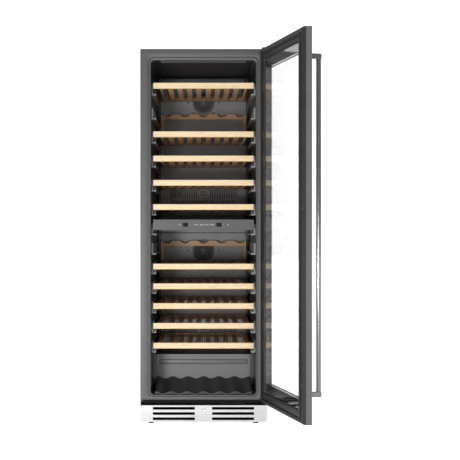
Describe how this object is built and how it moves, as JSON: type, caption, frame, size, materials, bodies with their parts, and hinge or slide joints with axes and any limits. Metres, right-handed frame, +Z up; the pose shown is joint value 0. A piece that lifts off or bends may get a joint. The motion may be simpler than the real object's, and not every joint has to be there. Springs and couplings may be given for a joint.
{
  "type": "wine cooler",
  "caption": "Tall built-in wine cooler with a steel-framed glass door standing open, two cooling zones and sliding beech shelves.",
  "frame": {"origin": "on the floor, in the middle of the cabinet's width, in the plane of the cabinet's front frame", "axes": "+Z up, +Y from the front to the back, +X towards the hinge side; the door stands open at rest"},
  "size_m": [0.7917, 1.2263, 1.769],
  "materials": {
    "shell_paint": "satin",
    "rear_sheet": "satin",
    "black_steel": "satin",
    "frame_paint": "satin",
    "liner_plastic": "satin",
    "foam": "matte",
    "stainless": "satin",
    "chrome_trim": "polished",
    "foot_plastic": "matte",
    "panel_plastic": "satin",
    "dark_lens": "gloss",
    "circuit_board": "matte",
    "duct_plastic": "satin",
    "fan_plastic": "satin",
    "aluminium_fin": "satin",
    "copper_pipe": "satin",
    "tray_plastic": "satin",
    "light_diffuser": "matte",
    "rail_metal": "satin",
    "slide_steel": "satin",
    "rack_wood": "satin",
    "beech": "satin",
    "door_plastic": "satin",
    "clear_glass": "gloss",
    "glass_border": "gloss",
    "gasket_rubber": "matte",
    "handle_steel": "satin"
  },
  "bodies": {
    "cabinet": {"outer_shell": "shell_paint", "back_panel": "rear_sheet", "base_plate": "black_steel", "front_frame": "frame_paint", "liner": "liner_plastic", "insulation": "foam", "kick_grille": "stainless", "lock_barrel": "chrome_trim", "levelling_feet": "foot_plastic", "top_hinge": "black_steel", "bottom_hinge": "black_steel", "zone_divider": "liner_plastic", "control_panel": "panel_plastic", "display_windows": "dark_lens", "control_board": "circuit_board", "duct_panel_upper": "duct_plastic", "duct_panel_lower": "duct_plastic", "fan_frames": "fan_plastic", "evaporators": "aluminium_fin", "compressor": "black_steel", "condenser": "black_steel", "refrigerant_pipes": "copper_pipe", "cord_gland": "foot_plastic", "bottle_tray": "tray_plastic", "machine_cover": "duct_plastic", "light_bars": "light_diffuser", "support_rails": "rail_metal", "slide_channels": "slide_steel"},
    "door": {"door_frame": "stainless", "door_inner_frame": "door_plastic", "door_glass": "clear_glass", "glass_spacer": "glass_border", "door_gasket": "gasket_rubber", "door_handle": "handle_steel"},
    "lock": {"lock_plug": "chrome_trim"},
    "upper_fan": {"fan_rotor_upper": "fan_plastic"},
    "lower_fan": {"fan_rotor_lower": "fan_plastic"},
    "condenser_fan": {"condenser_fan_rotor": "fan_plastic"},
    "sliding_shelf_1": {"shelf_1": "beech", "runners_1": "slide_steel"},
    "sliding_shelf_2": {"shelf_2": "beech", "runners_2": "slide_steel", "display_rack_upper": "rack_wood"},
    "sliding_shelf_3": {"shelf_3": "beech", "runners_3": "slide_steel"},
    "sliding_shelf_4": {"shelf_4": "beech", "runners_4": "slide_steel"},
    "sliding_shelf_5": {"shelf_5": "beech", "runners_5": "slide_steel"},
    "sliding_shelf_6": {"shelf_6": "beech", "runners_6": "slide_steel", "display_rack_lower": "rack_wood"},
    "sliding_shelf_7": {"shelf_7": "beech", "runners_7": "slide_steel"},
    "sliding_shelf_8": {"shelf_8": "beech", "runners_8": "slide_steel"},
    "sliding_shelf_9": {"shelf_9": "beech", "runners_9": "slide_steel"},
    "sliding_shelf_10": {"shelf_10": "beech", "runners_10": "slide_steel"}
  },
  "joints": [
    {"name": "door_hinge", "type": "hinge", "parent": "cabinet", "child": "door", "pos_m": [0.2851, -0.0238, 0.934], "axis": [0, 0, 1], "range_deg": [-104.2, 10.8]},
    {"name": "shelf_1_slide", "type": "slide", "parent": "cabinet", "child": "sliding_shelf_1", "axis": [0, -1, 0], "range_m": [0, 0.3]},
    {"name": "shelf_2_slide", "type": "slide", "parent": "cabinet", "child": "sliding_shelf_2", "axis": [0, -1, 0], "range_m": [0, 0.3]},
    {"name": "shelf_3_slide", "type": "slide", "parent": "cabinet", "child": "sliding_shelf_3", "axis": [0, -1, 0], "range_m": [0, 0.3]},
    {"name": "shelf_4_slide", "type": "slide", "parent": "cabinet", "child": "sliding_shelf_4", "axis": [0, -1, 0], "range_m": [0, 0.3]},
    {"name": "shelf_5_slide", "type": "slide", "parent": "cabinet", "child": "sliding_shelf_5", "axis": [0, -1, 0], "range_m": [0, 0.3]},
    {"name": "shelf_6_slide", "type": "slide", "parent": "cabinet", "child": "sliding_shelf_6", "axis": [0, -1, 0], "range_m": [0, 0.3]},
    {"name": "shelf_7_slide", "type": "slide", "parent": "cabinet", "child": "sliding_shelf_7", "axis": [0, -1, 0], "range_m": [0, 0.3]},
    {"name": "shelf_8_slide", "type": "slide", "parent": "cabinet", "child": "sliding_shelf_8", "axis": [0, -1, 0], "range_m": [0, 0.3]},
    {"name": "shelf_9_slide", "type": "slide", "parent": "cabinet", "child": "sliding_shelf_9", "axis": [0, -1, 0], "range_m": [0, 0.3]},
    {"name": "shelf_10_slide", "type": "slide", "parent": "cabinet", "child": "sliding_shelf_10", "axis": [0, -1, 0], "range_m": [0, 0.3]},
    {"name": "lock_turn", "type": "hinge", "parent": "cabinet", "child": "lock", "pos_m": [0, -0.02, 0.078], "axis": [0, -1, 0], "range_deg": [0, 90]},
    {"name": "upper_fan_spin", "type": "hinge", "parent": "cabinet", "child": "upper_fan", "pos_m": [0, 0.572, 1.575], "axis": [0, 1, 0], "continuous": true},
    {"name": "lower_fan_spin", "type": "hinge", "parent": "cabinet", "child": "lower_fan", "pos_m": [0, 0.572, 0.808], "axis": [0, 1, 0], "continuous": true},
    {"name": "condenser_fan_spin", "type": "hinge", "parent": "cabinet", "child": "condenser_fan", "pos_m": [0.15, 0.454, 0.13], "axis": [0, 1, 0], "continuous": true}
  ]
}
